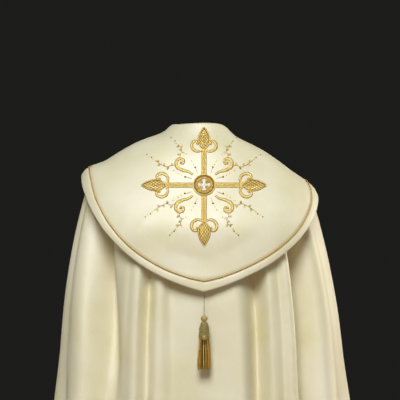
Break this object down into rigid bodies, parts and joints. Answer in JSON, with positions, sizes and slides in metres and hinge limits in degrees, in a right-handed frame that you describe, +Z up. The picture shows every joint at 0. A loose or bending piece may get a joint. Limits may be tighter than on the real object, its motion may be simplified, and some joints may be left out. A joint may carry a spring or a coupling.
{
  "type": "cope vestment",
  "caption": "Full-length half-circle cope worn over the shoulders, with a stiff shield-shaped hood on the back, a gold embroidered cross, gold piping and a hanging tassel.",
  "frame": {"origin": "centre of the neck opening at the height of the nape, where the wearer's neck and shoulders hold the cope", "axes": "+Z up along the wearer, -Y the way the wearer faces, +X to the wearer's left; the hood is on the +Y side"},
  "size_m": [0.8839, 0.6003, 1.4314],
  "materials": {
    "cream_satin": "soft satin sheen",
    "gold_thread": "shiny metallic thread",
    "bronze_thread": "twisted cord"
  },
  "bodies": {
    "root": {"mantle_back": "cream_satin", "mantle_left": "cream_satin", "mantle_right": "cream_satin", "hood_panel": "cream_satin", "hood_band": "cream_satin", "hood_piping": "gold_thread", "cross_disc": "gold_thread", "cross_arm_left": "gold_thread", "cross_arm_top": "gold_thread", "cross_arm_right": "gold_thread", "cross_arm_foot": "gold_thread", "tassel_string": "bronze_thread", "tassel_knob": "gold_thread", "tassel_bell": "gold_thread", "tassel_button": "gold_thread", "tassel_skirt": "gold_thread", "front_tab": "cream_satin"}
  },
  "joints": []
}
